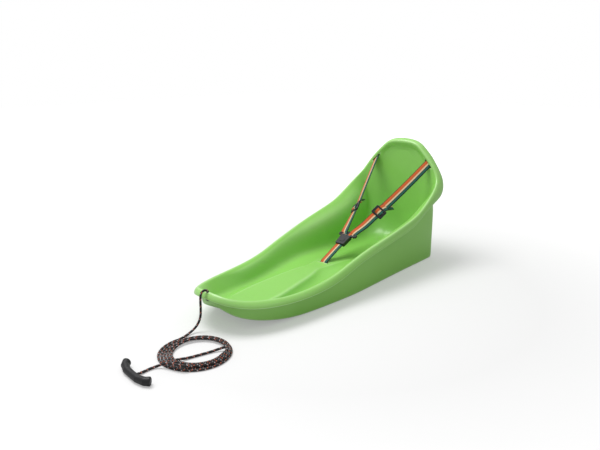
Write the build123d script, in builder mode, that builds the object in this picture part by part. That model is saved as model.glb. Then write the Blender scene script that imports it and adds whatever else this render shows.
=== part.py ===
from build123d import *
import math
import os

# Child's moulded plastic sled: a one-piece tub with a rolled rim and a raised
# headrest, a Y-shaped webbing harness with a buckle, and a tow rope with a grip.
# Frame: X across (+X is the rider's left), Y along (the nose points to -Y), Z up.
# The origin lies on the ground below the middle of the sled. Millimetres.

os.makedirs("parts", exist_ok=True)

# Tub
sled_length = 850.0
rim_width = 326.0
tub_width = 264.0
wall = 4.0
tub_corner = 20.0
bottom_round = 6.0
runner_width = 24.0

# Rim
rim_roll = 18.0
rim_corner = 27.0
inner_round = 6.0
lip_depth = 26.0
lip_setback = 9.0
nose_height = 92.0
well_rim_height = 70.0
arm_height = 170.0

# Headrest
rest_height = 378.0
rest_depth = 20.0
rest_shoulder_z = 240.0
rest_foot_z = 186.0
panel_recess = 8.0
panel_margin = 28.0

# Floor and the tongue between the foot wells
thigh_height = 50.0
seat_height = 34.0
floor_round = 14.0
tongue_half_width = 54.0
tongue_round = 9.0

# Webbing, its slots and the plates that hold it
strap_width = 25.0
strap_thickness = 2.0
slot_play = 7.0
slot_gap = 6.0
slot_centre_x = 98.0
slot_centre_z = 307.0
crotch_slot_station = 0.52
crotch_slot_z = 60.0
fit_gap = 0.3
strap_play = 1.0
stop_margin = 2.0
stop_width = 9.0
stop_thickness = 4.0
stop_setback = 4.0
strap_end = 4.0

# Buckle and adjusters
buckle_angle = 27.0
buckle_rise = (71.0, 35.0)
socket_length = 38.0
socket_thickness = 12.0
socket_top_half = 18.0
socket_wall = 3.0
button_size = (16.0, 13.0)
button_recess = 1.5
button_height = 1.0
blade_width = 20.0
blade_thickness = 3.2
blade_length = 15.0
yoke_length = 20.0
yoke_half = 31.0
yoke_thickness = 5.0
yoke_bar = 3.2
adjuster_length = 30.0
adjuster_thickness = 4.0
adjuster_bar = 5.0
adjuster_window = 7.0
adjuster_share = 0.35
adjuster_sag = 9.0

# Tow rope
rope_diameter = 6.0
rope_hole = 9.0
rope_hole_back = 15.0
knot_height = 12.0
knot_diameter = 13.2
coil_offset = (78.0, -90.0)
coil_radius = 84.0
coil_void_offset = (82.0, -84.0)
coil_void_radius = 54.0
coil_height = 16.0
grip_offset = (67.0, -226.5)
grip_length = 106.0
grip_bow = 14.5
grip_turn = -7.0
grip_end_diameter = 19.6
grip_diameter = 16.0
edge_break = 1.0

half_length = sled_length / 2
half_width = rim_width / 2
rear_y = half_length
nose_tip_y = -half_length
rim_plane_y = rear_y - rest_depth
tub_rear_y = rim_plane_y + panel_recess + wall
# Room by which a cutting block passes the pieces that it cuts
beyond = 40.0


def along(station):
    """Y of a station given as a share of the sled's length from the nose."""
    return (station - 0.5) * sled_length


def mirrored(points):
    """The points of one side, from the nose back, joined to their mirror image."""
    return [(-x, y) for x, y in reversed(points[1:])] + points


# Plan shape of the tub at each level: height, nose position from the front, share of the width
bow_levels = [
    (0.0, 108.0, 0.900),
    (14.0, 72.0, 0.940),
    (40.0, 46.0, 0.965),
    (90.0, 24.0, 0.985),
    (150.0, 14.0, 0.995),
]
top_level = (rest_height + 22, 4.0, 1.000)
# Plan points of the tub's side: share of the half width, share of the length
hull_side = [(0.27, 0.012), (0.56, 0.064), (0.73, 0.143), (0.87, 0.25), (0.955, 0.43), (1.0, 0.66), (0.94, 0.86)]
hull_rear_share = 0.856


def hull_outline(height, nose_back, width_share, inset):
    """Closed plan outline of the tub at one level, drawn inside the open part."""
    front_y = nose_tip_y + nose_back + inset
    back_y = tub_rear_y - inset
    half = tub_width / 2 * width_share - inset
    points = [(0, front_y)]
    points += [(half * across, front_y + (back_y - front_y) * station) for across, station in hull_side]
    points += [(half * hull_rear_share, back_y)]
    with BuildSketch(Plane.XY.offset(height)) as outline:
        with BuildLine():
            sides = Spline(*mirrored(points))
            Line(sides @ 1, sides @ 0)
        make_face()
        fillet(outline.vertices().group_by(Axis.Y)[-1], max(tub_corner - inset, wall))
    return outline.sketch


def tub_solid(lift, inset):
    """Solid tub: a smooth bow up to its last level and straight sides above it."""
    with BuildPart() as tub:
        for height, nose_back, width_share in bow_levels:
            add(hull_outline(height + lift, nose_back, width_share, inset))
        loft()
        for height, nose_back, width_share in (bow_levels[-1], top_level):
            add(hull_outline(height + lift, nose_back, width_share, inset))
        loft(ruled=True)
    return tub.part


# Rim line seen from the side: station along the length, height of the crest
rim_line = [
    (along(0.0), nose_height),
    (along(0.10), well_rim_height + 10),
    (along(0.25), well_rim_height),
    (along(0.37), well_rim_height + 16),
    (along(0.50), arm_height - 46),
    (along(0.62), arm_height - 20),
    (along(0.735), arm_height),
    (along(0.85), arm_height + 36),
    (along(0.93), arm_height + 75),
    (rim_plane_y, arm_height + 145),
]


def below_rim(back, down):
    """Solid of everything below the rim line moved back and down, as wide as the sled."""
    points = [(y + back, z - down) for y, z in rim_line]
    with BuildPart() as block:
        with BuildSketch(Plane.YZ):
            with BuildLine():
                crest = Spline(*points, tangents=[(1, -0.25), (0, 1)])
                Polyline(
                    crest @ 1,
                    (rim_plane_y + back, rest_height + beyond),
                    (rear_y + beyond, rest_height + beyond),
                    (rear_y + beyond, -beyond),
                    (nose_tip_y - beyond, -beyond),
                    (nose_tip_y - beyond, nose_height - down + beyond / 4),
                    crest @ 0,
                )
            make_face()
        extrude(amount=rim_width, both=True)
    return block.part


# Plan points of the rim's side: share of the half width, share of the length
rim_side = [(0.32, 0.019), (0.595, 0.0765), (0.724, 0.159), (0.84, 0.265), (0.905, 0.47), (0.985, 0.70), (1.0, 0.86)]


def rim_prism(inset):
    """Upright prism on the plan outline of the rim."""
    half = half_width - inset
    points = [(0, nose_tip_y + inset)]
    points += [(half * across, nose_tip_y + inset + sled_length * station) for across, station in rim_side]
    with BuildPart() as prism:
        with BuildSketch() as outline:
            with BuildLine():
                sides = Spline(*mirrored(points))
                Polyline(sides @ 1, (half, rear_y), (-half, rear_y), sides @ 0)
            make_face()
            fillet(outline.vertices().group_by(Axis.Y)[-1], rim_corner - inset)
        extrude(amount=rest_height + beyond)
    return prism.part


# Headrest seen from the front, from the top down: share of the half width, drop below the top
rest_side = [(0.0, 0), (0.245, 7), (0.454, 29), (0.687, 66), (0.865, 106), (0.969, 142), (1.018, 178)]
panel_side = [(0.0, 0), (0.227, 4), (0.439, 21), (0.636, 48), (0.848, 88), (0.970, 124), (1.061, 160)]
rest_line = [(half_width * across, rest_height - drop) for across, drop in rest_side]
panel_line = [(tub_width / 2 * across, rest_height - panel_margin - drop) for across, drop in panel_side]
side_ends = [(1, 0), (0.15, -1)]
outline_steps = 10


def moved_in(side_line, inset):
    """Half outline moved square to itself towards the inside, as points along it."""
    with BuildLine() as half:
        Spline(*side_line, tangents=side_ends)
    line = half.line
    points = []
    for step in range(outline_steps + 1):
        share = step / outline_steps
        along_line = line % share
        point = line @ share
        points.append((point.X + along_line.Y * inset, point.Y - along_line.X * inset))
    return points


def front_prism(side_line, inset):
    """Prism along the whole sled on an outline seen from the front, moved in by an inset."""
    with BuildPart() as prism:
        with BuildSketch(Plane.XZ.offset(half_length + beyond)):
            with BuildLine():
                side = Spline(*moved_in(side_line, inset), tangents=side_ends)
                foot_x = (side @ 1).X + wall
                Polyline(side @ 1, (foot_x, -beyond), (0, -beyond), side @ 0)
            make_face()
            mirror(about=Plane.YZ)
        extrude(amount=-(sled_length + 2 * beyond))
    return prism.part


rest_foot_x = tub_width / 2 * hull_rear_share


def rest_zone(lift, front_y):
    """Block behind a plane, above the slanted lower edge of the headrest."""
    with BuildPart() as zone:
        with BuildSketch(Plane.XZ.offset(-front_y)):
            with BuildLine():
                Polyline(
                    (0, rest_height + beyond),
                    (rim_width, rest_height + beyond),
                    (rim_width, rest_shoulder_z + beyond),
                    (half_width + wall, rest_shoulder_z + lift),
                    (rest_foot_x, rest_foot_z + lift),
                    (0, rest_foot_z + lift),
                    (0, rest_height + beyond),
                )
            make_face()
            mirror(about=Plane.YZ)
        extrude(amount=-(rear_y + beyond - front_y))
    return zone.part


def crest_edges(block, inset):
    """Edges of a rim block along its crest and round the headrest."""
    front_y = rim_plane_y + inset
    found = []
    for edge in block.edges():
        ends = (edge @ 0, edge @ 1)
        level = abs(ends[0].Z - ends[1].Z) < 0.1
        at_side = all(abs(end.X) > half_width - inset - 1 for end in ends)
        on_front = all(abs(end.Y - front_y) < 0.1 for end in ends)
        behind = max(end.Y for end in (*ends, edge @ 0.5)) > front_y + 0.5
        low = min(end.Z for end in ends) < well_rim_height / 2
        if not (behind or low or (level and (at_side or on_front))):
            found.append(edge)
    return found


def rolled_block(inset):
    """Everything below the rim's crest, with the rolled edge; an inset leaves the wall."""
    with BuildPart() as block:
        add(rim_prism(inset))
        add(below_rim(inset, inset), mode=Mode.INTERSECT)
        add(front_prism(rest_line, inset), mode=Mode.INTERSECT)
        fillet(crest_edges(block, inset), rim_roll - inset)
    return block.part


hull_inside = tub_solid(wall, wall)
rolled_outer = rolled_block(0)

with BuildPart() as lip_cut:
    add(below_rim(lip_setback, lip_depth))
    add(rest_zone(0, rim_plane_y - 1), mode=Mode.SUBTRACT)

with BuildPart() as tub_body:
    add(tub_solid(0, 0))
    fillet(tub_body.edges().group_by(Axis.Z)[0], bottom_round)
    add(front_prism(panel_line, -wall), mode=Mode.INTERSECT)
    add(rolled_outer, mode=Mode.INTERSECT)

with BuildPart() as rim_hollow:
    add(rolled_block(wall))
    add(tub_body.part, mode=Mode.SUBTRACT)

with BuildPart() as rest_hollow:
    add(rim_prism(wall))
    add(front_prism(rest_line, wall), mode=Mode.INTERSECT)
    add(rest_zone(wall, rim_plane_y + rim_roll), mode=Mode.INTERSECT)
    add(tub_body.part, mode=Mode.SUBTRACT)

# Floor seen from the side: low in the foot wells, up under the thighs, down to the seat
floor_line = [
    (along(0.22), wall),
    (along(0.30), wall + 10),
    (along(0.37), wall + 20),
    (along(0.46), thigh_height - 7),
    (along(0.56), thigh_height),
    (along(0.66), (thigh_height + seat_height) / 2 + 4),
    (along(0.76), seat_height + 3),
    (along(0.88), seat_height),
    (tub_rear_y + wall, seat_height + 1),
]
floor_ends = [(1, 0.25), (1, 0.02)]
# Top of the tongue, which rises from the bow to the crotch strap
tongue_line = [
    (along(0.035), wall + 22),
    (along(0.159), wall + 26),
    (along(0.268), wall + 31),
    (along(0.366), crotch_slot_z - 12),
    (along(0.441), crotch_slot_z - 5),
    (along(crotch_slot_station), crotch_slot_z),
    (along(0.571), crotch_slot_z - 3),
]
tongue_ends = [(1, 0.02), (1, -0.15)]


def below_line(points, ends, back, down):
    """Solid of everything below a line seen from the side, moved back and down."""
    moved = [(y + back, z - down) for y, z in points]
    with BuildPart() as block:
        with BuildSketch(Plane.YZ):
            with BuildLine():
                line = Spline(*moved, tangents=ends)
                Polyline(line @ 1, (moved[-1][0], -beyond), (moved[0][0], -beyond), line @ 0)
            make_face()
        extrude(amount=rim_width, both=True)
    return block.part


# Plan points of the tongue's side: step in from its half width, station along the length
tongue_side = [(0, 0.159), (3, 0.268), (9, 0.366), (14, 0.441), (18, 0.5), (32, 0.54)]


def tongue_solid(inset):
    """Tongue between the foot wells, moved in and down by an inset."""
    front_y = along(0.034)
    points = [(tongue_half_width - step - inset, along(station)) for step, station in tongue_side]
    tip = (0, along(0.554) - inset)
    with BuildPart() as block:
        with BuildSketch(Plane.XY.offset(-beyond)):
            with BuildLine():
                side = Spline(*points, tip, tangents=[(-0.05, 1), (-1, 0)])
                Polyline(side @ 1, (0, front_y), (points[0][0] + 6, front_y), side @ 0)
            make_face()
            mirror(about=Plane.YZ)
        extrude(amount=beyond + nose_height)
        add(below_line(tongue_line, tongue_ends, 0, inset), mode=Mode.INTERSECT)
    return block.part


with BuildPart() as tongue:
    add(tongue_solid(0))
    top = tongue.edges().filter_by(lambda edge: min((edge @ 0).Z, (edge @ 1).Z) > wall)
    fillet(top.filter_by(lambda edge: edge.length > tongue_half_width and abs((edge @ 0.5).X) > 1), tongue_round)

with BuildPart() as seat_space:
    add(hull_inside)
    add(below_line(floor_line, floor_ends, 0, 0), mode=Mode.SUBTRACT)
    foot = seat_space.edges().filter_by(lambda edge: max((edge @ 0).Z, (edge @ 1).Z) < thigh_height + wall)
    foot = foot.filter_by(lambda edge: abs((edge @ 0.5).X) > 1 or (edge @ 0.5).Y < along(0.2))
    fillet(foot.filter_by(lambda edge: edge.geom_type != GeomType.LINE), floor_round)
    add(front_prism(panel_line, 0), mode=Mode.INTERSECT)
    add(tongue.part, mode=Mode.SUBTRACT)

with BuildPart() as hollow_blocks:
    add(below_line(floor_line, floor_ends, wall / 2, wall))
    add(tongue_solid(wall))
with BuildPart() as under_floor:
    add(hull_inside)
    add(hollow_blocks.part, mode=Mode.INTERSECT)
with BuildPart() as floor_opening:
    add(hull_outline(-wall, bow_levels[0][1], bow_levels[0][2], runner_width))
    extrude(amount=2 * wall + 1)
    add(hollow_blocks.part, mode=Mode.INTERSECT)


def shared_edges(body, first, second):
    """Edges of a body that lie on the skins of two others."""
    skins = [part.shells()[0] for part in (first, second)]
    middles = [(edge, Vertex(*(edge @ 0.5))) for edge in body.edges().filter_by(GeomType.BSPLINE)]
    return [edge for edge, middle in middles if all(skin.distance_to(middle) < 0.01 for skin in skins)]


with BuildPart() as shell_body:
    add(rolled_outer)
    add(lip_cut.part, mode=Mode.SUBTRACT)
    add(tub_body.part)
    add(seat_space.part, mode=Mode.SUBTRACT)
    fillet(shared_edges(shell_body, rolled_outer, seat_space.part), inner_round)

crotch_slot_y = along(crotch_slot_station)
slot_length = strap_width + slot_play
slot_middle = Vector(slot_centre_x, rim_plane_y, slot_centre_z)
slot_across = Vector(1, 0, -1).normalized()
rope_y = nose_tip_y + rope_hole_back


def mirrored_point(point, side):
    """The point itself for the left side, or its mirror image for the right."""
    x, y, z = point
    return Vector(side * x, y, z)


# Slots for the straps and the hole for the tow rope
with BuildPart() as strap_slots:
    for side in (-1, 1):
        start = mirrored_point(slot_middle - Vector(0, wall, 0), side)
        across = mirrored_point(slot_across, side)
        with BuildSketch(Plane(start, x_dir=across, z_dir=(0, 1, 0))):
            SlotOverall(slot_length, slot_gap)
        extrude(amount=3 * wall)
    with BuildSketch(Plane.XY.offset(crotch_slot_z - 3 * wall)):
        with Locations((0, crotch_slot_y)):
            SlotOverall(slot_length, slot_gap)
    extrude(amount=6 * wall)
    with BuildSketch(Plane.XY.offset(nose_height - lip_depth + wall)):
        with Locations((0, rope_y)):
            Circle(rope_hole / 2)
    extrude(amount=lip_depth + wall)

with BuildPart() as sled_shell:
    add(shell_body.part)
    hollows = (rim_hollow, rest_hollow, under_floor, floor_opening, strap_slots)
    add([hollow.part for hollow in hollows], mode=Mode.SUBTRACT)


def finished(part, name):
    """Labels a finished piece and writes its file."""
    part.label = name
    export_step(part, f"parts/{name}.step")


def run_plane(start, end, across):
    """Plane at the start of a run, square to it, with X along the strap's width."""
    direction = (end - start).normalized()
    width = (across - direction * across.dot(direction)).normalized()
    return Plane(start, x_dir=width, z_dir=direction)


def strap_run(start, end, across):
    """Straight stretch of webbing between two points."""
    with BuildPart() as run:
        with BuildSketch(run_plane(start, end, across)):
            Rectangle(strap_width, strap_thickness)
        extrude(amount=(end - start).length)
    return run.part


# Buckle: X across it, Y up along the strap, Z out of its face
slope = math.radians(buckle_angle)
buckle_foot = Vector(0, crotch_slot_y + buckle_rise[0], crotch_slot_z + buckle_rise[1])
buckle_plane = Plane(buckle_foot, x_dir=(1, 0, 0), z_dir=(0, -math.sin(slope), math.cos(slope)))
socket_foot_half = strap_width / 2 + socket_wall
blade_play = 2 * fit_gap


def buckle_block(width, length, depth, foot, middle_out):
    """Block on the buckle's centre line, from its foot upwards."""
    with BuildPart() as block:
        with BuildSketch(buckle_plane.offset(middle_out - depth / 2)):
            with Locations((0, foot + length / 2)):
                Rectangle(width, length)
        extrude(amount=depth)
    return block.part


with BuildPart() as buckle_socket:
    with BuildSketch(buckle_plane.offset(-socket_thickness / 2)) as socket_outline:
        with BuildLine():
            Polyline(
                (0, 0),
                (socket_foot_half, 0),
                (socket_top_half, socket_length),
                (0, socket_length),
                (0, 0),
            )
        make_face()
        mirror(about=Plane.YZ)
        fillet(socket_outline.vertices().filter_by(lambda corner: abs(corner.X) > 1), socket_wall)
    extrude(amount=socket_thickness)
    faces = buckle_socket.faces().sort_by(Axis(buckle_foot, buckle_plane.z_dir))
    chamfer(faces[-1].edges() + faces[0].edges(), edge_break)
    with BuildSketch(buckle_plane.offset(socket_thickness / 2)):
        with Locations((0, socket_length * 0.45)):
            RectangleRounded(button_size[0] + blade_play, button_size[1] + blade_play, socket_wall)
            RectangleRounded(*button_size, socket_wall - fit_gap, mode=Mode.SUBTRACT)
    extrude(amount=-button_recess, mode=Mode.SUBTRACT)
    with BuildSketch(buckle_plane.offset(socket_thickness / 2)):
        with Locations((0, socket_length * 0.45)):
            RectangleRounded(*button_size, socket_wall - fit_gap)
    extrude(amount=button_height)
    mouth = (blade_width + blade_play, blade_length + fit_gap, blade_thickness + blade_play)
    add(buckle_block(*mouth, socket_length - mouth[1], 0), mode=Mode.SUBTRACT)
    strap_pocket = (strap_width + blade_play, strap_end + fit_gap, strap_thickness + blade_play)
    add(buckle_block(*strap_pocket, 0, 0), mode=Mode.SUBTRACT)

# Yoke: a blade for the socket and a bar on each side that a lower strap loops over
lean = 16.5
yoke_foot = socket_length + fit_gap
bar_slot = (strap_width + strap_play, strap_thickness + 2 * strap_play)
bar_middle = (bar_slot[0] / 2 + yoke_bar, yoke_foot + yoke_length / 2 - 1)
with BuildPart() as buckle_yoke:
    with BuildSketch(buckle_plane.offset(-yoke_thickness / 2)) as yoke_outline:
        with BuildLine():
            Polyline(
                (0, yoke_foot),
                (socket_top_half - 1, yoke_foot),
                (yoke_half, yoke_foot + 2),
                (yoke_half + 1, yoke_foot + yoke_length - 9),
                (2, yoke_foot + yoke_length),
                (0, yoke_foot + yoke_length),
                (0, yoke_foot),
            )
        make_face()
        mirror(about=Plane.YZ)
        fillet(yoke_outline.vertices().filter_by(lambda corner: abs(corner.X) > yoke_half - 1), 2)
        for side in (-1, 1):
            with Locations(Location((side * bar_middle[0], bar_middle[1]), -side * lean)):
                Rectangle(*bar_slot, mode=Mode.SUBTRACT)
    extrude(amount=yoke_thickness)
    add(buckle_block(blade_width, blade_length, blade_thickness, yoke_foot - blade_length, 0))

# Crotch strap: up through the tongue's slot and into the foot of the socket
crotch_mouth = Vector(0, crotch_slot_y, crotch_slot_z + strap_thickness)
crotch_stop_top = crotch_slot_z - wall - 2 * fit_gap
crotch_low = Vector(0, crotch_slot_y, crotch_stop_top - stop_thickness - strap_end)
across_x = Vector(1, 0, 0)
with BuildPart() as crotch_strap:
    add(strap_run(crotch_low, crotch_mouth, across_x))
    add(strap_run(crotch_mouth, buckle_foot, across_x))
    add(buckle_block(strap_width, strap_end, strap_thickness, 0, 0))


def stop_plate(plane):
    """Plate behind a slot, with the strap through it."""
    with BuildPart() as plate:
        with BuildSketch(plane):
            RectangleRounded(slot_length + stop_margin, stop_width, 3)
            Rectangle(strap_width + blade_play, strap_thickness + blade_play, mode=Mode.SUBTRACT)
        extrude(amount=stop_thickness)
    return plate.part


finished(stop_plate(Plane((0, crotch_slot_y, crotch_stop_top - stop_thickness))), "crotch_strap_stop")


def adjuster_frame(plane):
    """Frame with a centre bar and a window on each side of it."""
    with BuildPart() as frame:
        with BuildSketch(plane.offset(-adjuster_thickness / 2)):
            RectangleRounded(strap_width + strap_play + 4 * socket_wall, adjuster_length, 4)
            for side in (-1, 1):
                with Locations((0, side * (adjuster_bar + adjuster_window) / 2)):
                    Rectangle(strap_width + strap_play, adjuster_window, mode=Mode.SUBTRACT)
        extrude(amount=adjuster_thickness)
        faces = frame.faces().sort_by(Axis(plane.origin, plane.z_dir))
        chamfer(faces[-1].outer_wire().edges(), edge_break)
    return frame.part


bar_out = yoke_thickness / 2 + fit_gap + strap_thickness / 2
strap_under = adjuster_thickness / 2 + fit_gap + strap_thickness / 2
for side, side_name in ((1, "left"), (-1, "right")):
    across = mirrored_point(slot_across, side) * side
    slot = mirrored_point(slot_middle, side)
    slot_mouth = slot - Vector(0, 3 * wall, 0)
    strap_foot = buckle_plane.from_local_coords((side * bar_middle[0], bar_middle[1], -yoke_thickness / 2))
    strap_bend = buckle_plane.from_local_coords((side * bar_middle[0], bar_middle[1], bar_out))
    middle = strap_bend + (slot_mouth - strap_bend) * adjuster_share - Vector(0, 0, adjuster_sag)

    lined_up = run_plane(middle, slot_mouth, across)
    frame_plane = Plane(middle, x_dir=lined_up.x_dir, z_dir=lined_up.x_dir.cross(lined_up.z_dir))
    finished(adjuster_frame(frame_plane), f"strap_adjuster_{side_name}")

    lower_end = frame_plane.from_local_coords((0, -fit_gap, -strap_under))
    lower_mouth = frame_plane.from_local_coords((0, -adjuster_length / 2 - strap_play, -strap_under))
    with BuildPart() as lower_strap:
        add(strap_run(strap_foot, strap_bend, frame_plane.x_dir))
        add(strap_run(strap_bend, lower_mouth, frame_plane.x_dir))
        add(strap_run(lower_mouth, lower_end, frame_plane.x_dir))
        add(buckle_yoke.part, mode=Mode.SUBTRACT)
    finished(lower_strap.part, f"lower_strap_{side_name}")

    upper_end = frame_plane.from_local_coords((0, fit_gap, -strap_under))
    upper_mouth = frame_plane.from_local_coords((0, adjuster_length / 2 + strap_play, -strap_under))
    stop_y = rim_plane_y + wall + stop_setback
    with BuildPart() as shoulder_strap:
        add(strap_run(upper_end, upper_mouth, frame_plane.x_dir))
        add(strap_run(upper_mouth, slot_mouth, frame_plane.x_dir))
        add(strap_run(slot_mouth, Vector(slot.X, stop_y + stop_thickness + strap_end, slot.Z), across))
    finished(shoulder_strap.part, f"shoulder_strap_{side_name}")
    stop_plane = Plane((slot.X, stop_y, slot.Z), x_dir=across, z_dir=(0, 1, 0))
    finished(stop_plate(stop_plane), f"strap_stop_{side_name}")

# Tow rope: a knot under the nose, a lead over the lip, a loose coil and the grip
floor_z = rope_diameter / 2 + 2


def from_nose(offset):
    """Point on the ground given from the tip of the nose."""
    return (offset[0], nose_tip_y + offset[1])


with BuildPart() as rope_coil:
    with BuildSketch():
        with Locations(from_nose(coil_offset)):
            Circle(coil_radius)
        with Locations(from_nose(coil_void_offset)):
            Circle(coil_void_radius, mode=Mode.SUBTRACT)
    extrude(amount=coil_height)
    chamfer(rope_coil.edges().group_by(Axis.Z)[-1], rope_diameter / 2)


def rope_tube(points, name):
    """Tube along straight runs joined by tangent arcs as large as the runs allow."""
    route = [Vector(*point) for point in points]
    radii = []
    for before, corner, after in zip(route, route[1:], route[2:]):
        turn = math.radians((corner - before).get_angle(after - corner))
        shorter = min((corner - before).length, (after - corner).length)
        radii.append(0.45 * shorter / math.tan(turn / 2))
    print(name, "radii", [round(radius, 1) for radius in radii])
    with BuildPart() as tube:
        with BuildLine():
            line = FilletPolyline(*route, radius=radii)
        with BuildSketch(Plane(line @ 0, z_dir=line % 0)):
            Circle(rope_diameter / 2)
        sweep()
    section = math.pi * rope_diameter**2 / 4
    print(name, "volume over section times length", round(tube.part.volume / (section * line.length), 4))
    return tube.part


knot_top = nose_height - wall - 4.6
lead_points = [
    (0, rope_y, knot_top),
    (0, rope_y, nose_height + 1),
    (0, rope_y - 4, nose_height + 7),
    (0, rope_y - 14, nose_height + 9),
    (0, rope_y - 22, nose_height + 3),
    (0, rope_y - 24, nose_height - 12),
    (1, rope_y - 24.5, nose_height - 32),
    (0, rope_y - 25, nose_height - 52),
    (-4, rope_y - 28, nose_height - 68),
    (-7, rope_y - 36, floor_z + 7),
    (-7, rope_y - 52, floor_z + 1),
    (-5, rope_y - 68, floor_z),
    (0, rope_y - 82, floor_z),
]
with BuildPart() as rope_lead:
    add(rope_tube(lead_points, "lead"))
    add(rope_coil.part, mode=Mode.SUBTRACT)

# Grip: a crescent that bulges away from the rope, thicker at its blunt ends
grip_plane = Plane(
    (*from_nose(grip_offset), 0),
    x_dir=Vector(1, 0, 0).rotate(Axis.Z, grip_turn),
    z_dir=(0, 0, 1),
)
grip_sections = [0.0, 0.12, 0.3, 0.5, 0.7, 0.88, 1.0]
with BuildPart() as pull_grip:
    with BuildLine(grip_plane) as grip_line:
        reach = grip_length / 2
        Spline(
            (-reach, 0),
            (-reach * 0.72, -grip_bow * 0.75),
            (0, -grip_bow),
            (reach * 0.72, -grip_bow * 0.75),
            (reach, 0),
        )
    spine = grip_line.line
    for share in grip_sections:
        flare = (2 * share - 1) ** 2
        radius = (grip_diameter + (grip_end_diameter - grip_diameter) * flare) / 2
        centre = spine @ share + Vector(0, 0, radius)
        with BuildSketch(Plane(centre, x_dir=(0, 0, 1), z_dir=spine % share)):
            Circle(radius)
    loft(ruled=True)
    chamfer(pull_grip.faces().filter_by(GeomType.PLANE).edges(), 2 * edge_break)

run_points = [(76, -169, 5), (68, -181, 4), (65, -197, 3), (66, -214, 3.2), (68, -228, 5), (68, -239, 7)]
with BuildPart() as rope_run:
    add(rope_tube([(*from_nose(point[:2]), point[2]) for point in run_points], "run"))
    add(rope_coil.part, mode=Mode.SUBTRACT)
    add(pull_grip.part, mode=Mode.SUBTRACT)

with BuildPart() as rope_knot:
    with BuildSketch(Plane.XY.offset(knot_top - knot_height)):
        with Locations((0, rope_y)):
            Circle(knot_diameter / 2)
    extrude(amount=knot_height)
    chamfer(rope_knot.edges().filter_by(GeomType.CIRCLE), 3)

for part, name in (
    (sled_shell.part, "sled_shell"),
    (buckle_socket.part, "buckle_socket"),
    (buckle_yoke.part, "buckle_yoke"),
    (crotch_strap.part, "crotch_strap"),
    (rope_coil.part, "tow_rope_coil"),
    (rope_lead.part, "tow_rope_lead"),
    (rope_run.part, "tow_rope_run"),
    (rope_knot.part, "tow_rope_knot"),
    (pull_grip.part, "pull_grip"),
):
    finished(part, name)
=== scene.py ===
"""Looks of a child's moulded sled: a green polyethylene tub, a striped harness and a braided tow rope.

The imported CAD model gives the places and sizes. Lengths are in metres for the stage and the rope, and in
millimetres for the tub, the harness and every name that ends in _mm.
"""

from __future__ import annotations

import logging
import math
from dataclasses import dataclass
from enum import Enum
from typing import Sequence

import bmesh
import bpy
from mathutils import Matrix, Vector

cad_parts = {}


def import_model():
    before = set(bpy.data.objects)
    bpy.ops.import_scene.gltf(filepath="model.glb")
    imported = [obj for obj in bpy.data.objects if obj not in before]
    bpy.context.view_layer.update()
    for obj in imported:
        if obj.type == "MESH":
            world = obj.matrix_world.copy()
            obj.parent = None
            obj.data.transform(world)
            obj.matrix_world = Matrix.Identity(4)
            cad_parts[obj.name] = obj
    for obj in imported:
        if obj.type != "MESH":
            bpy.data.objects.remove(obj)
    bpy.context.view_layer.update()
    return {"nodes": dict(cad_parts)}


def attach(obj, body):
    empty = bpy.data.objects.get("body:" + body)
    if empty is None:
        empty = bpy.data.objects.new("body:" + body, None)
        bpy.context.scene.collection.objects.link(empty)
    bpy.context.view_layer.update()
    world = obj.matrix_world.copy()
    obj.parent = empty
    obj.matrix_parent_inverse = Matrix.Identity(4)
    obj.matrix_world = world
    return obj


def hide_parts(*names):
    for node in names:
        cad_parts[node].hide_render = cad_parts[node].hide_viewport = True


LOG = logging.getLogger("sled")
MM = 0.001
BODY = "root"
STRAP_MM = 25.0
BRAID_STRANDS = 8
BRAID_PITCH_MM = 16.0
BRAID_RELIEF = 0.16
# Colour sockets of the mix node, which has other sockets of the same names
MIX_FIRST, MIX_SECOND, MIX_RESULT = 6, 7, 2

Point = tuple[float, float, float]


class Side(Enum):
    """The child's two sides, with their direction along X."""

    LEFT = 1
    RIGHT = -1


def linear(hex_colour: str) -> tuple[float, float, float, float]:
    """Turns an sRGB hex colour into linear RGBA.

    Args:
        hex_colour: Six hex digits, with or without a leading hash.

    Returns:
        Linear red, green and blue with an alpha of 1.
    """
    digits = hex_colour.lstrip("#")
    channels = []
    for start in (0, 2, 4):
        value = int(digits[start : start + 2], 16) / 255
        channels.append(value / 12.92 if value <= 0.04045 else ((value + 0.055) / 1.055) ** 2.4)
    return (channels[0], channels[1], channels[2], 1.0)


def per_metre(size_mm: float) -> float:
    """Scale of a pattern whose repeat has this size in millimetres."""
    return 1.0 / (size_mm * MM)


def add_node(
    tree: bpy.types.NodeTree,
    kind: str,
    settings: dict[str | int, object] | None = None,
    links: dict[str | int, bpy.types.NodeSocket] | None = None,
) -> bpy.types.Node:
    """Adds one node with its settings and links.

    Args:
        tree: Node tree that takes the node.
        kind: Blender's type name of the node.
        settings: Values by attribute name, or by input name or number.
        links: Sockets to join to inputs, by input name or number.

    Returns:
        The new node.
    """
    node = tree.nodes.new(kind)
    for key, value in (settings or {}).items():
        if isinstance(key, str) and key not in node.inputs and hasattr(node, key):
            setattr(node, key, value)
        else:
            node.inputs[key].default_value = value
    for key, socket in (links or {}).items():
        tree.links.new(socket, node.inputs[key])
    return node


def new_material(name: str) -> tuple[bpy.types.Material, bpy.types.NodeTree]:
    """Makes an empty node material.

    Args:
        name: Name of the material.

    Returns:
        The material and its cleared node tree.
    """
    material = bpy.data.materials.new(name)
    material.use_nodes = True
    material.node_tree.nodes.clear()
    return material, material.node_tree


def close_material(tree: bpy.types.NodeTree, shader: bpy.types.Node) -> None:
    """Joins a shader to the material's output.

    Args:
        tree: The material's node tree.
        shader: Node whose first output is the surface.
    """
    add_node(tree, "ShaderNodeOutputMaterial", links={"Surface": shader.outputs[0]})


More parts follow.
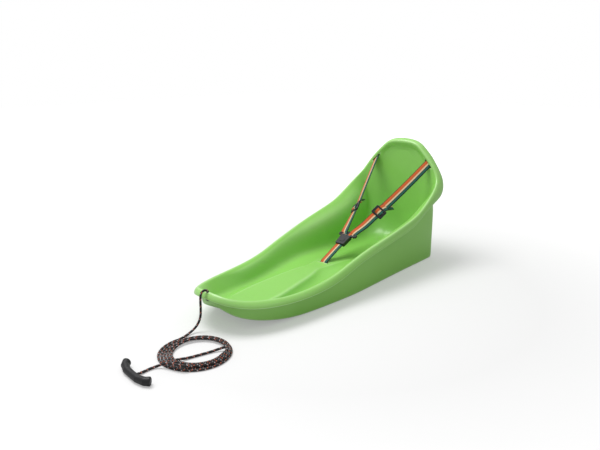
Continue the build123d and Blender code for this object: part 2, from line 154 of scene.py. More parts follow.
def add_surface(
    tree: bpy.types.NodeTree, settings: dict[str | int, object], links: dict[str | int, bpy.types.NodeSocket]
) -> None:
    """Adds the principled shader and joins it to the material's output."""
    close_material(tree, add_node(tree, "ShaderNodeBsdfPrincipled", settings, links))


def add_math(
    tree: bpy.types.NodeTree, operation: str, *operands: bpy.types.NodeSocket | float
) -> bpy.types.NodeSocket:
    """Adds one operation on numbers.

    Args:
        tree: Node tree that takes the node.
        operation: Blender's name of the operation.
        operands: Sockets or numbers, in the order of the node's inputs.

    Returns:
        The socket with the result.
    """
    node = add_node(tree, "ShaderNodeMath", {"operation": operation})
    for socket, operand in zip(node.inputs, operands):
        if isinstance(operand, bpy.types.NodeSocket):
            tree.links.new(operand, socket)
        else:
            socket.default_value = operand
    return node.outputs[0]


def add_range(
    tree: bpy.types.NodeTree, value: bpy.types.NodeSocket, limits: dict[str | int, object]
) -> bpy.types.NodeSocket:
    """Maps a value to another range, from 0 to 1 where no limit is given."""
    return add_node(tree, "ShaderNodeMapRange", limits, {"Value": value}).outputs["Result"]


def add_noise(
    tree: bpy.types.NodeTree, place: bpy.types.Node, size_mm: float, detail: float
) -> bpy.types.NodeSocket:
    """Adds noise of one size, in millimetres, in the object's own space."""
    settings = {"Scale": per_metre(size_mm), "Detail": detail}
    return add_node(tree, "ShaderNodeTexNoise", settings, {"Vector": place.outputs["Object"]}).outputs["Fac"]


def add_bump(
    tree: bpy.types.NodeTree, height: bpy.types.NodeSocket, strength: float, height_mm: float
) -> bpy.types.NodeSocket:
    """Adds a bump of one height, in millimetres, and gives its normal."""
    settings = {"Strength": strength, "Distance": height_mm * MM}
    return add_node(tree, "ShaderNodeBump", settings, {"Height": height}).outputs["Normal"]


def mix_colours(
    tree: bpy.types.NodeTree, share: bpy.types.NodeSocket, first: bpy.types.NodeSocket | str, second: str
) -> bpy.types.NodeSocket:
    """Mixes two colours.

    Args:
        tree: Node tree that takes the node.
        share: How much of the second colour shows.
        first: Socket with a colour, or a hex colour.
        second: Hex colour.

    Returns:
        The socket with the mixed colour.
    """
    mix = add_node(tree, "ShaderNodeMix", {"data_type": "RGBA", MIX_SECOND: linear(second)}, {0: share})
    if isinstance(first, str):
        mix.inputs[MIX_FIRST].default_value = linear(first)
    else:
        tree.links.new(first, mix.inputs[MIX_FIRST])
    return mix.outputs[MIX_RESULT]


def dress(piece: bpy.types.Object, material: bpy.types.Material) -> None:
    """Puts one material in every slot of a piece.

    Args:
        piece: Mesh or curve object.
        material: Material for the whole piece.
    """
    if not piece.data.materials:
        piece.data.materials.append(material)
    for slot in piece.material_slots:
        slot.material = material


def link_piece(name: str, data: bpy.types.ID, slot: str, *replaced: str) -> bpy.types.Object:
    """Adds a piece of the object, riding on its only body.

    Args:
        name: Name of the piece.
        data: Its mesh or curve.
        slot: Material slot of the record; not used.
        replaced: CAD nodes that the piece stands for.

    Returns:
        The new object.
    """
    piece = bpy.data.objects.new(name, data)
    bpy.context.scene.collection.objects.link(piece)
    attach(piece, BODY)
    if replaced:
        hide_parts(*replaced)
    return piece


def mesh_from(
    name: str,
    points: Sequence[Vector],
    faces: Sequence[tuple[int, ...]],
    corner_uvs: Sequence[tuple[float, float]] | None = None,
) -> bpy.types.Mesh:
    """Makes a smooth-shaded mesh.

    Args:
        name: Name of the mesh.
        points: Vertices.
        faces: Vertex numbers of each face.
        corner_uvs: One texture place for each face corner, in the order of the faces.

    Returns:
        The mesh.
    """
    mesh = bpy.data.meshes.new(name)
    mesh.from_pydata([tuple(p) for p in points], [], list(faces))
    if corner_uvs is not None:
        layer = mesh.uv_layers.new(name="UVMap")
        for loop in mesh.loops:
            layer.data[loop.index].uv = corner_uvs[loop.index]
    mesh.polygons.foreach_set("use_smooth", [True] * len(mesh.polygons))
    mesh.update()
    return mesh


def distances(line: Sequence[Vector]) -> list[float]:
    """Gives the length of a line up to each of its points.

    Args:
        line: Points of the line, in order.

    Returns:
        One length for each point, from 0.
    """
    lengths = [0.0]
    for before, after in zip(line, line[1:]):
        lengths.append(lengths[-1] + (after - before).length)
    return lengths


def tangents(line: Sequence[Vector]) -> list[Vector]:
    """Gives the direction of a line at each of its points."""
    ends = [line[0], *line, line[-1]]
    return [(after - before).normalized() for before, after in zip(ends, ends[2:])]


@dataclass(frozen=True)
class MouldedPolyethylene:
    """Blow-moulded high-density polyethylene: even colour, a waxy soft gloss, a faint orange peel and painted
    highlights on its convex edges.
    """

    colour: str = "#8FCE62"
    depth_colour: str = "#89C958"
    # Pale green and its pointiness limits: a painted highlight along convex edges
    edge_highlight_colour: str = "#C4EBA8"
    highlight_from: float = 0.502
    highlight_full: float = 0.53
    highlight_share: float = 0.75
    cloud_mm: float = 140.0
    peel_mm: float = 1.6
    peel_height_mm: float = 0.010
    peel_strength: float = 0.35
    roughness: float = 0.36
    ior: float = 1.54
    translucency: float = 0.12
    light_reach: Point = (0.004, 0.006, 0.002)

    def build(self) -> bpy.types.Material:
        """Builds the material."""
        material, tree = new_material("moulded_polyethylene")
        place = add_node(tree, "ShaderNodeTexCoord")
        cloud = add_noise(tree, place, self.cloud_mm, 2.0)
        colour = mix_colours(tree, cloud, self.colour, self.depth_colour)
        # Painted highlight: tight convex edges, picked out by pointiness, are mixed towards a pale green as if they
        # caught the light
        shape = add_node(tree, "ShaderNodeNewGeometry")
        limits = {"From Min": self.highlight_from, "From Max": self.highlight_full, "To Max": self.highlight_share}
        edge_highlight = add_range(tree, shape.outputs["Pointiness"], limits)
        colour = mix_colours(tree, edge_highlight, colour, self.edge_highlight_colour)
        peel = add_noise(tree, place, self.peel_mm, 3.0)
        normal = add_bump(tree, peel, self.peel_strength, self.peel_height_mm)
        wear = add_range(tree, cloud, {"To Min": self.roughness - 0.04, "To Max": self.roughness + 0.05})
        settings = {
            "IOR": self.ior,
            "Subsurface Weight": self.translucency,
            "Subsurface Radius": self.light_reach,
            "Subsurface Scale": 1.0,
        }
        add_surface(tree, settings, {"Base Color": colour, "Roughness": wear, "Normal": normal})
        return material


@dataclass(frozen=True)
class MouldedAcetal:
    """Injection-moulded black acetal with a fine spark-eroded grain from its mould."""

    name: str = "moulded_acetal"
    colour: str = "#1B1C1F"
    grain_mm: float = 0.5
    grain_height_mm: float = 0.015
    grain_strength: float = 0.4
    roughness: float = 0.42
    ior: float = 1.48

    def build(self) -> bpy.types.Material:
        """Builds the material."""
        material, tree = new_material(self.name)
        grain = add_noise(tree, add_node(tree, "ShaderNodeTexCoord"), self.grain_mm, 2.0)
        normal = add_bump(tree, grain, self.grain_strength, self.grain_height_mm)
        sheen = add_range(tree, grain, {"To Min": self.roughness - 0.06, "To Max": self.roughness + 0.08})
        settings = {"Base Color": linear(self.colour), "IOR": self.ior}
        add_surface(tree, settings, {"Roughness": sheen, "Normal": normal})
        return material


@dataclass(frozen=True)
class StripedWebbing:
    """Woven polyester webbing with lengthwise stripes: dull yarn, a fine twill relief and a soft sheen."""

    stripes: tuple[tuple[float, str], ...] = (
        (0.00, "#2A2420"),
        (0.06, "#D2622A"),
        (0.42, "#E8CFA8"),
        (0.60, "#20211F"),
        (0.66, "#1E6A5C"),
        (0.88, "#16201E"),
    )
    yarn_mm: float = 1.3
    herringbone_yarns: float = 4.0
    relief_mm: float = 0.12
    relief_strength: float = 0.8
    groove_shade: float = 0.72

    def build(self) -> bpy.types.Material:
        """Builds the material."""
        material, tree = new_material("striped_webbing")
        place = add_node(tree, "ShaderNodeTexCoord")
        split = add_node(tree, "ShaderNodeSeparateXYZ", links={0: place.outputs["UV"]})
        ramp = add_node(tree, "ShaderNodeValToRGB", links={0: split.outputs["Y"]})
        ramp.color_ramp.interpolation = "CONSTANT"
        elements = ramp.color_ramp.elements
        for number, (position, colour) in enumerate(self.stripes):
            # A new ramp has its first two stops already
            element = elements[number] if number < 2 else elements.new(position)
            element.position, element.color = position, linear(colour)
        along = add_math(tree, "MULTIPLY", split.outputs["X"], per_metre(self.yarn_mm))
        across = add_math(tree, "MULTIPLY", split.outputs["Y"], STRAP_MM / self.yarn_mm)
        folded = add_math(tree, "PINGPONG", across, self.herringbone_yarns)
        twill = add_math(tree, "PINGPONG", add_math(tree, "ADD", along, folded), 0.5)
        normal = add_bump(tree, twill, self.relief_strength, self.relief_mm)
        shade = add_range(tree, twill, {"From Max": 0.5, "To Min": self.groove_shade, "To Max": 1.0})
        links = {0: ramp.outputs["Color"], "Scale": shade}
        colour = add_node(tree, "ShaderNodeVectorMath", {"operation": "SCALE"}, links)
        settings = {"Roughness": 0.82, "Sheen Weight": 0.25, "Sheen Roughness": 0.5, "Specular IOR Level": 0.25}
        add_surface(tree, settings, {"Base Color": colour.outputs[0], "Normal": normal})
        return material


@dataclass(frozen=True)
class BraidedCord:
    """Braided polypropylene cord: black yarn with one orange and one light tracer strand in each lay."""

    yarn: str = "#1A1617"
    orange: str = "#C2552A"
    light: str = "#B9B2B4"
    tracer_strands: float = 1.2
    fibre_mm: float = 0.6
    fibre_height_mm: float = 0.05
    fibre_strength: float = 0.5

    def build(self) -> bpy.types.Material:
        """Builds the material."""
        material, tree = new_material("braided_cord")
        place = add_node(tree, "ShaderNodeTexCoord")
        split = add_node(tree, "ShaderNodeSeparateXYZ", links={0: place.outputs["UV"]})
        lay = add_math(tree, "MULTIPLY", split.outputs["X"], per_metre(BRAID_PITCH_MM))
        turns = [add_math(tree, "MULTIPLY_ADD", lay, sign, split.outputs["Y"]) for sign in (1.0, -1.0)]
        angles = [add_math(tree, "MULTIPLY", turn, math.tau * BRAID_STRANDS / 4) for turn in turns]
        crossing = add_math(tree, "MULTIPLY", *(add_math(tree, "SINE", angle) for angle in angles))
        # Each lay has one tracer strand, which shows where that lay is on top
        colour = self.yarn
        for turn, tracer, on_top in zip(turns, (self.orange, self.light), ("GREATER_THAN", "LESS_THAN")):
            round_cord = add_math(tree, "FRACT", turn)
            is_tracer = add_math(tree, "LESS_THAN", round_cord, self.tracer_strands / BRAID_STRANDS)
            shown = add_math(tree, "MULTIPLY", is_tracer, add_math(tree, on_top, crossing, 0.0))
            colour = mix_colours(tree, shown, colour, tracer)
        fibre = add_noise(tree, place, self.fibre_mm, 2.0)
        normal = add_bump(tree, fibre, self.fibre_strength, self.fibre_height_mm)
        settings = {"Roughness": 0.6, "Sheen Weight": 0.2, "Specular IOR Level": 0.35}
        add_surface(tree, settings, {"Base Color": colour, "Normal": normal})
        return material


@dataclass(frozen=True)
class RimStation:
    """One cross-section of the tub's right half, in millimetres, from its middle out to its foot.

    ``spine`` and ``under`` lie in the middle plane and hold only y and z.
    """

    spine: tuple[float, float]
    tongue: Point
    well: Point
    floor: Point
    crest: Point
    lip: Point
    wall_top: Point
    foot: Point
    under: tuple[float, float]


@dataclass
class TubShell:
    """The moulded tub: a raised tongue between two foot wells, a seat, a back rest, a broad rim and an outer wall."""

    wall: float = 4.0
    runner: float = 18.0
    smoothing: int = 2
    weld: float = 0.05
    cut_depth: float = 0.030
    hole_depth: float = 0.026
    hole_sides: int = 20
    slot_tilt: float = 45.0
    back_from: float = 415.0
    hollow_from: float = 20.0
    slot_size: tuple[float, float] = (33.0, 6.0)
    strap_slot: Point = (98.0, 405.0, 307.0)
    crotch_slot: Point = (0.0, 17.0, 60.0)
    rope_hole: tuple[Point, float] = ((0.0, -410.0, 90.0), 9.0)
    stations: tuple[RimStation, ...] = (
        # Nose
        RimStation((-325, 38), (0, -335, 39), (0, -350, 42), (0, -372, 50), (0, -409, 96),
            (0, -423, 81), (0, -414, 84), (0, -400, 58), (-330, 8)),
        RimStation((-322, 38), (14, -334, 39), (18, -349, 42), (24, -369, 50), (26, -409, 95),
            (30, -421, 79), (27, -412, 82), (24, -399, 57), (-328, 8)),
        RimStation((-310, 37), (28, -328, 38), (36, -342, 40), (44, -360, 46), (50, -401, 90),
            (57, -409, 73), (52, -402, 77), (46, -390, 46), (-315, 4)),
        RimStation((-295, 36), (38, -312, 38), (48, -325, 37), (57, -344, 42), (68, -384, 84),
            (82, -389, 67), (74, -384, 71), (64, -376, 34), (-300, 2)),
        RimStation((-275, 35), (46, -290, 38), (60, -300, 32), (69, -320, 36), (86, -357, 79),
            (104, -360, 62), (94, -356, 66), (84, -350, 24), (-278, 0)),
        RimStation((-250, 37), (50, -262, 40), (72, -272, 28), (81, -288, 31), (104, -318, 75),
            (124, -315, 58), (112, -313, 62), (101, -309, 14), (-252, 0)),
        RimStation((-215, 41), (52, -222, 43), (80, -228, 25), (92, -240, 27), (120, -262, 72),
            (138, -252, 56), (124, -252, 60), (113, -250, 4), (-216, 0)),
        RimStation((-178, 46), (48, -180, 47), (82, -185, 24), (98, -190, 26), (129, -200, 73),
            (145, -190, 57), (129, -190, 61), (119, -190, 0), (-178, 0)),
        RimStation((-136, 50), (42, -136, 51), (82, -136, 26), (102, -138, 28), (134, -140, 79),
            (148, -130, 62), (132, -132, 66), (124, -135, 0), (-136, 0)),
        RimStation((-92, 54), (36, -92, 54.5), (80, -92, 31), (104, -92, 33), (138, -90, 90),
            (150, -80, 72), (135, -84, 76), (128, -85, 0), (-92, 0)),
        RimStation((-58, 56.5), (29, -62, 57), (76, -52, 38), (105, -50, 39), (140, -45, 105),
            (152, -30, 90), (137, -38, 94), (131, -40, 0), (-52, 2)),
        # Seat
        RimStation((-30, 58), (18, -33, 58), (72, -16, 45), (105, -8, 45), (142, 2, 119),
            (153, 8, 100), (138, 6, 104), (132, 3, 0), (-20, 40)),
        RimStation((-12, 57), (24, -14, 57), (68, 14, 49), (105, 26, 48), (146, 48, 131),
            (155, 48, 108), (138, 46, 112), (131, 42, 0), (12, 50)),
        RimStation((18, 59.5), (28, 20, 59), (66, 50, 50), (104, 66, 49), (151, 92, 141),
            (156, 92, 117), (137, 88, 121), (129, 84, 0), (50, 50)),
        RimStation((70, 58), (32, 74, 56), (65, 92, 50), (104, 106, 49), (154, 132, 150),
            (158, 136, 125), (136, 132, 129), (127, 130, 0), (92, 46)),
        RimStation((130, 54), (34, 134, 52), (66, 144, 49), (103, 152, 48), (156, 178, 160),
            (159, 184, 134), (134, 180, 138), (125, 180, 0), (140, 42)),
        RimStation((195, 49), (35, 198, 48), (67, 204, 46), (102, 210, 46), (157, 225, 171),
            (160, 236, 145), (131, 232, 149), (123, 232, 0), (200, 38)),
        RimStation((250, 46), (36, 252, 45), (68, 256, 44), (101, 262, 45), (157, 262, 182),
            (161, 262, 158), (129, 262, 162), (122, 275, 0), (255, 36)),
        RimStation((300, 44), (37, 302, 44), (69, 304, 43), (101, 310, 47), (156, 296, 200),
            (161, 300, 178), (126, 305, 178), (121, 320, 0), (305, 35)),
        RimStation((350, 45), (38, 350, 45), (70, 350, 47), (101, 350, 58), (154, 334, 224),
            (160, 338, 195), (122, 355, 181), (120, 370, 0), (352, 36)),
        RimStation((388, 56), (38, 387, 58), (71, 386, 64), (100, 378, 90), (150, 362, 243),
            (159, 372, 206), (120, 404, 183), (119, 408, 0), (385, 46)),
        # Back rest
        RimStation((402, 98), (38, 401, 102), (72, 399, 112), (99, 392, 140), (144, 381, 259),
            (157, 397, 217), (117, 424, 185), (117, 424, 0), (406, 90)),
        RimStation((407, 160), (36, 406, 165), (68, 405, 175), (94, 400, 205), (137, 392, 272),
            (152, 415, 234), (100, 417, 205), (107, 428, 0), (412, 150)),
        RimStation((410, 225), (32, 410, 229), (62, 409, 236), (87, 406, 250), (127, 397, 288),
            (143, 425, 262), (92, 417, 250), (88, 428, 0), (415, 215)),
        RimStation((411, 270), (28, 411, 274), (56, 411, 279), (81, 409, 288), (112, 399, 308),
            (124, 425, 294), (86, 417, 288), (66, 428, 0), (416, 260)),
        RimStation((412, 300), (24, 412, 303), (47, 412, 308), (70, 410, 318), (90, 400, 330),
            (100, 425, 328), (75, 417, 318), (45, 428, 0), (416, 290)),
        RimStation((412, 317), (20, 412, 320), (38, 412, 325), (57, 410, 336), (72, 401, 347),
            (79, 425, 348), (62, 417, 338), (28, 428, 0), (416, 306)),
        RimStation((412, 328), (14, 412, 331), (27, 412, 336), (42, 410, 345), (54, 402, 363),
            (59, 425, 367), (46, 417, 350), (16, 428, 0), (416, 316)),
        RimStation((412, 333), (7, 412, 336), (14, 412, 340), (22, 410, 348), (30, 402, 369),
            (33, 425, 376), (24, 417, 354), (7, 428, 0), (416, 322)),
        RimStation((412, 334), (0, 412, 337), (0, 412, 341), (0, 410, 349), (0, 402, 370),
            (0, 425, 378), (0, 417, 355), (0, 428, 0), (416, 324)),
    )

    def ring(self, station: RimStation, behind: bool) -> list[Vector]:
        """Control points of one station from the middle, over the rim and under to the middle again.

        Args:
            station: Places of the station's features.
            behind: Whether the station belongs to the back rest, whose rim is open behind.

        Returns:
            Points in millimetres.
        """
        spine = Vector((0.0, *station.spine))
        tongue, well, floor = Vector(station.tongue), Vector(station.well), Vector(station.floor)
        crest, lip = Vector(station.crest), Vector(station.lip)
        wall_top, foot = Vector(station.wall_top), Vector(station.foot)
        under = Vector((0.0, *station.under))
        if not behind:
            wall_top.x = min(wall_top.x, foot.x + 2.0 if station.foot[2] < 1 else lip.x - 14.0)
            wall_top.x = max(wall_top.x, 0.0)
        drop = lip - crest
        # The inner wall stays inside the outer one and flares out above it
        share = (wall_top.z + 5 - floor.z) / max(crest.z - floor.z, 1.0)
        knee = floor.lerp(crest, 0.62 if behind else min(max(share, 0.3), 0.82))
        if not behind:
            knee.x = min(knee.x, max(wall_top.x - 8, 0.0))
        inward = (knee - crest).normalized()
        bulge = (crest - floor) - drop * ((crest - floor).dot(drop) / drop.length_squared)
        bulge = bulge.normalized() if bulge.length > 1e-6 else Vector((0, 0, 1))
        swell = 0.13 * drop.length
        wall_foot = floor.lerp(crest, 0.10) + (well - floor).normalized() * -1.5
        inner_lip = lip - bulge * self.wall
        points = [
            spine,
            spine.lerp(tongue, 0.5),
            tongue.lerp(spine, 0.10),
            tongue.lerp(well, 0.07),
            Vector((*tongue.lerp(well, 0.34).xy, tongue.lerp(well, 0.78).z)),
            well,
            floor.lerp(well, 0.25),
            wall_foot,
            floor.lerp(knee, 0.5),
            knee,
            crest + inward * 10,
            crest + inward * 3.5,
            crest + drop * 0.10 + bulge * 1.2,
            crest + drop * 0.36 + bulge * swell,
            crest + drop * 0.72 + bulge * swell * 0.9,
            lip - drop * 0.08 + bulge * 0.5,
            lip,
            inner_lip,
            inner_lip - drop * 0.10,
        ]
        if behind:
            shelf = Vector((foot.x, 417.0, 188.0))
            roof, roof_middle = Vector((foot.x * 0.86, 408.0, 34.0)), Vector((0, 395, 36))
            points += [
                inner_lip.lerp(wall_top, 0.7),
                wall_top,
                wall_top.lerp(shelf, 0.5),
                shelf,
                Vector((foot.x, 425.0, 184.0)),
                Vector((foot.x, foot.y, 100.0)),
                foot + Vector((0, 0, 6)),
                foot,
                Vector((foot.x * 0.9, 412.0, 0.0)),
                roof,
                roof.lerp(roof_middle, 0.5),
                roof_middle,
            ]
        else:
            flat = Vector((spine.x - foot.x, 0.0, 0.0))
            step = flat.normalized() * min(self.runner, flat.length * 0.6) if flat.length > 1e-6 else flat
            rise = Vector((0, 0, under.z - foot.z if under.z > self.hollow_from else 0))
            inner = foot + step + rise * 0.85
            points += [
                inner_lip.lerp(wall_top, 0.5) + Vector((0, 0, 2)),
                wall_top,
                *(wall_top.lerp(foot, part) for part in (0.04, 0.25, 0.55, 0.85)),
                foot.lerp(wall_top, 6 / max((wall_top - foot).length, 12)),
                foot,
                foot + step,
                inner,
                inner.lerp(under, 0.3) + rise * 0.1,
                under,
            ]
        return points

    def build(self, material: bpy.types.Material) -> bpy.types.Object:
        """Builds the tub, cuts its slots and dresses it.

        Args:
            material: Finish of the tub.

        Returns:
            The tub.
        """
        rings = [self.ring(station, station.foot[1] > self.back_from) for station in self.stations]
        points, faces = [], []
        rows = len(rings[0])
        for side in (1, -1):
            base = len(points)
            for ring in rings:
                points += [Vector((side * place.x, place.y, place.z)) * MM for place in ring]
            for station in range(len(rings) - 1):
                for row in range(rows - 1):
                    low, high = base + station * rows + row, base + (station + 1) * rows + row
                    quad = (low, high, high + 1, low + 1)
                    faces.append(quad if side > 0 else tuple(reversed(quad)))
        form = bmesh.new()
        corners = [form.verts.new(point) for point in points]
        for quad in faces:
            form.faces.new([corners[index] for index in quad])
        bmesh.ops.remove_doubles(form, verts=form.verts, dist=self.weld * MM)
        bmesh.ops.dissolve_degenerate(form, edges=form.edges, dist=self.weld * MM)
        bmesh.ops.recalc_face_normals(form, faces=form.faces)
        mesh = bpy.data.meshes.new("tub")
        form.to_mesh(mesh)
        form.free()
        tub = link_piece("tub", mesh, "shell", "sled_shell")
        smooth = tub.modifiers.new("smooth", "SUBSURF")
        smooth.levels = smooth.render_levels = self.smoothing
        self.apply_all(tub)
        self.cut_openings(tub)
        tub.data.polygons.foreach_set("use_smooth", [True] * len(tub.data.polygons))
        dress(tub, material)
        LOG.info("tub with %d faces", len(tub.data.polygons))
        return tub

    @staticmethod
    def apply_all(piece: bpy.types.Object) -> None:
        """Turns a piece's modifiers into its mesh.

        Args:
            piece: Mesh object with modifiers.
        """
        graph = bpy.context.evaluated_depsgraph_get()
        graph.update()
        made = bpy.data.meshes.new_from_object(piece.evaluated_get(graph))
        piece.modifiers.clear()
        old, piece.data = piece.data, made
        bpy.data.meshes.remove(old)

    def cut_openings(self, tub: bpy.types.Object) -> None:
        """Cuts the three strap slots and the rope hole.

        Args:
            tub: The smooth tub.
        """
        cutter = bmesh.new()
        length, gap = self.slot_size
        x, y, z = self.strap_slot
        for side in (1, -1):
            tilt = Matrix.Rotation(side * math.radians(self.slot_tilt), 4, "Y")
            turn = Matrix.Translation(Vector((side * x, y, z)) * MM) @ tilt
            size = Matrix.Diagonal((length * MM, self.cut_depth, gap * MM, 1))
            bmesh.ops.create_cube(cutter, size=1, matrix=turn @ size)
        size = Matrix.Diagonal((length * MM, gap * MM, self.cut_depth, 1))
        bmesh.ops.create_cube(cutter, size=1, matrix=Matrix.Translation(Vector(self.crotch_slot) * MM) @ size)
        place, width = self.rope_hole
        bmesh.ops.create_cone(
            cutter,
            cap_ends=True,
            segments=self.hole_sides,
            radius1=width * MM / 2,
            radius2=width * MM / 2,
            depth=self.hole_depth,
            matrix=Matrix.Translation(Vector(place) * MM),
        )
        mesh = bpy.data.meshes.new("openings")
        cutter.to_mesh(mesh)
        cutter.free()
        holder = bpy.data.objects.new("openings", mesh)
        bpy.context.scene.collection.objects.link(holder)
        cut = tub.modifiers.new("openings", "BOOLEAN")
        cut.operation, cut.object, cut.solver = "DIFFERENCE", holder, "EXACT"
        self.apply_all(tub)
        bpy.data.objects.remove(holder)
        bpy.data.meshes.remove(mesh)


@dataclass
class WovenStrap:
    """One length of woven webbing that follows a route. ``node`` is the CAD strap it stands for, if any."""

    name: str
    route: Sequence[Point | Vector]
    across: Sequence[Point | Vector]
    node: str
    width: float = STRAP_MM
    thickness: float = 1.7
    narrow: float = 1.0
    steps: int = 10

    def smooth_line(self, places: Sequence[Point | Vector]) -> list[Vector]:
        """Spreads a smooth line through places.

        Args:
            places: Points or directions in order.

        Returns:
            Points of the line.
        """
        knots = [Vector(place) for place in places]
        knots = [knots[0] * 2 - knots[1], *knots, knots[-1] * 2 - knots[-2]]
        line = []
        for index in range(1, len(knots) - 2):
            before, start, end, after = knots[index - 1 : index + 3]
            for step in range(self.steps):
                t = step / self.steps
                line.append(
                    0.5
                    * (
                        2 * start
                        + (end - before) * t
                        + (2 * before - 5 * start + 4 * end - after) * t**2
                        + (3 * start - before - 3 * end + after) * t**3
                    )
                )
        return [*line, knots[-2]]

    def build(self, material: bpy.types.Material) -> bpy.types.Object:
        """Builds the webbing.

        Args:
            material: Finish of the webbing.

        Returns:
            The strap.
        """
        line, sides = self.smooth_line(self.route), self.smooth_line(self.across)
        points, faces, corner_uvs = [], [], []
        # Crowned section: edges a little thinner than the middle
        section = ((-0.5, 0.30), (-0.47, 0.5), (0.0, 0.56), (0.47, 0.5), (0.5, 0.30))
        section += tuple((x, -y) for x, y in reversed(section))
        count, stations = len(section), [length * MM for length in distances(line)]
        for index, (centre, side, tangent) in enumerate(zip(line, sides, tangents(line))):
            across = (side - tangent * side.dot(tangent)).normalized()
            normal = across.cross(tangent)
            share = index / (len(line) - 1)
            width = self.width * (1 + (self.narrow - 1) * max(share * 3 - 2, 0.0))
            for x, y in section:
                points.append((centre + across * x * width + normal * y * self.thickness) * MM)
        for index in range(len(line) - 1):
            for corner in range(count):
                following = (corner + 1) % count
                low, high = index * count, (index + 1) * count
                faces.append((low + corner, high + corner, high + following, low + following))
                left, right = section[corner][0] + 0.5, section[following][0] + 0.5
                near, far = stations[index], stations[index + 1]
                corner_uvs += [(near, left), (far, left), (far, right), (near, right)]
        for base, flip in ((0, False), ((len(line) - 1) * count, True)):
            ring = [base + corner for corner in range(count)]
            faces.append(tuple(reversed(ring)) if flip else tuple(ring))
            corner_uvs += [(stations[-1 if flip else 0], 0.5)] * count
        mesh = mesh_from(self.name, points, faces, corner_uvs=corner_uvs)
        strap = link_piece(self.name, mesh, "webbing", *((self.node,) if self.node else ()))
        dress(strap, material)
        return strap


@dataclass
class Harness:
    """Five-point harness of woven straps, which pass the yoke's bars, the adjusters and the shell's slots."""

    crotch_slot: Point = (0.0, 17.0, 60.0)
    buckle_foot: Point = (0.0, 88.0, 95.0)
    bar: Point = (16.2, 128.4, 119.9)
    adjuster: Point = (44.8, 221.0, 176.4)
    slot: Point = (98.0, 405.0, 307.0)
    tail_narrowing: float = 0.86

    def straps(self) -> list[WovenStrap]:
        """Routes of all the straps."""
        x, y, z = self.crotch_slot
        foot = Vector(self.buckle_foot)
        across_x = (1.0, 0.0, 0.0)
        crotch = (
            (x, y - 2, z - 9),
            (x, y - 1, z - 3),
            (x, y + 5, z + 3),
            (x, y + 20, z + 10.5),
            (x, y + 45, z + 23),
            foot + Vector((0, 6, 3.2)),
        )
        made = [WovenStrap("crotch_webbing", crotch, (across_x,) * len(crotch), "crotch_strap")]
        for side in Side:
            made += self.side_straps(side)
        return made

    def side_straps(self, chosen: Side) -> list[WovenStrap]:
        """Routes of one side's straps and its loose tail.

        Args:
            chosen: The child's left or right.

        Returns:
            Lower strap, shoulder strap and tail.
        """
        side, word = chosen.value, chosen.name.lower()
        bar, adjuster, slot = (Vector((side * x, y, z)) for x, y, z in (self.bar, self.adjuster, self.slot))
        run = (slot - adjuster).normalized()
        low_run = (adjuster - bar).normalized()
        # Across the strap, from the child's right to its left
        low_across = Vector((1.0, 0.0, -0.25 * side)).normalized()
        mid_across = Vector((1.0, 0.0, -0.75 * side)).normalized()
        top_across = Vector((1.0, 0.0, -1.0 * side)).normalized()
        up = top_across.cross(run)
        up = up if up.z > 0 else -up
        low_up = low_across.cross(low_run)
        low_up = low_up if low_up.z > 0 else -low_up
        sag = Vector((0, 0, -4.0))
        lower = (
            bar - low_up * 2.6 - low_run * 8,
            bar - low_up * 3.0 + low_run * 1,
            bar - low_up * 0.5 + low_run * 10,
            bar.lerp(adjuster, 0.45) + sag * 0.8,
            bar.lerp(adjuster, 0.80) - up * 2.5,
            adjuster - run * 9 - up * 2.4,
            adjuster - run * 3 + up * 2.8,
            adjuster + run * 3 + up * 2.8,
            adjuster + run * 9 - up * 1.2,
        )
        lower_across = (low_across,) * 3 + (low_across.lerp(mid_across, 0.5), mid_across) + (top_across,) * 4
        shoulder = (
            adjuster - run * 14 - up * 5.0,
            adjuster - up * 5.2,
            adjuster + run * 14 - up * 4.6,
            adjuster.lerp(slot, 0.30) - up * 2.0 + sag * 0.5,
            adjuster.lerp(slot, 0.65) - up * 0.5 + sag * 0.5,
            slot - run * 12 - up * 0.3,
            slot + Vector((0, 1, 0)),
            slot + Vector((0, 7, -1)),
        )
        tail_out = Vector((side * 10.0, 26.0, -3.0))
        tail = (
            adjuster + run * 6 - up * 0.6,
            adjuster + run * 14 + up * 0.6,
            adjuster + run * 22 + tail_out * 0.12 - up * 0.5,
            adjuster + run * 27 + tail_out * 0.55 - up * 4.0,
            adjuster + run * 30 + tail_out * 1.0 - up * 10.0,
        )
        across_shoulder, across_tail = (top_across,) * len(shoulder), (top_across,) * len(tail)
        return [
            WovenStrap(f"lower_webbing_{word}", lower, lower_across, f"lower_strap_{word}"),
            WovenStrap(f"shoulder_webbing_{word}", shoulder, across_shoulder, f"shoulder_strap_{word}"),
            WovenStrap(f"loose_tail_{word}", tail, across_tail, "", narrow=self.tail_narrowing),
        ]

    def build(self, material: bpy.types.Material) -> None:
        """Builds every strap.

        Args:
            material: Finish of the webbing.
        """
        for strap in self.straps():
            strap.build(material)
            LOG.info("strap %s", strap.name)


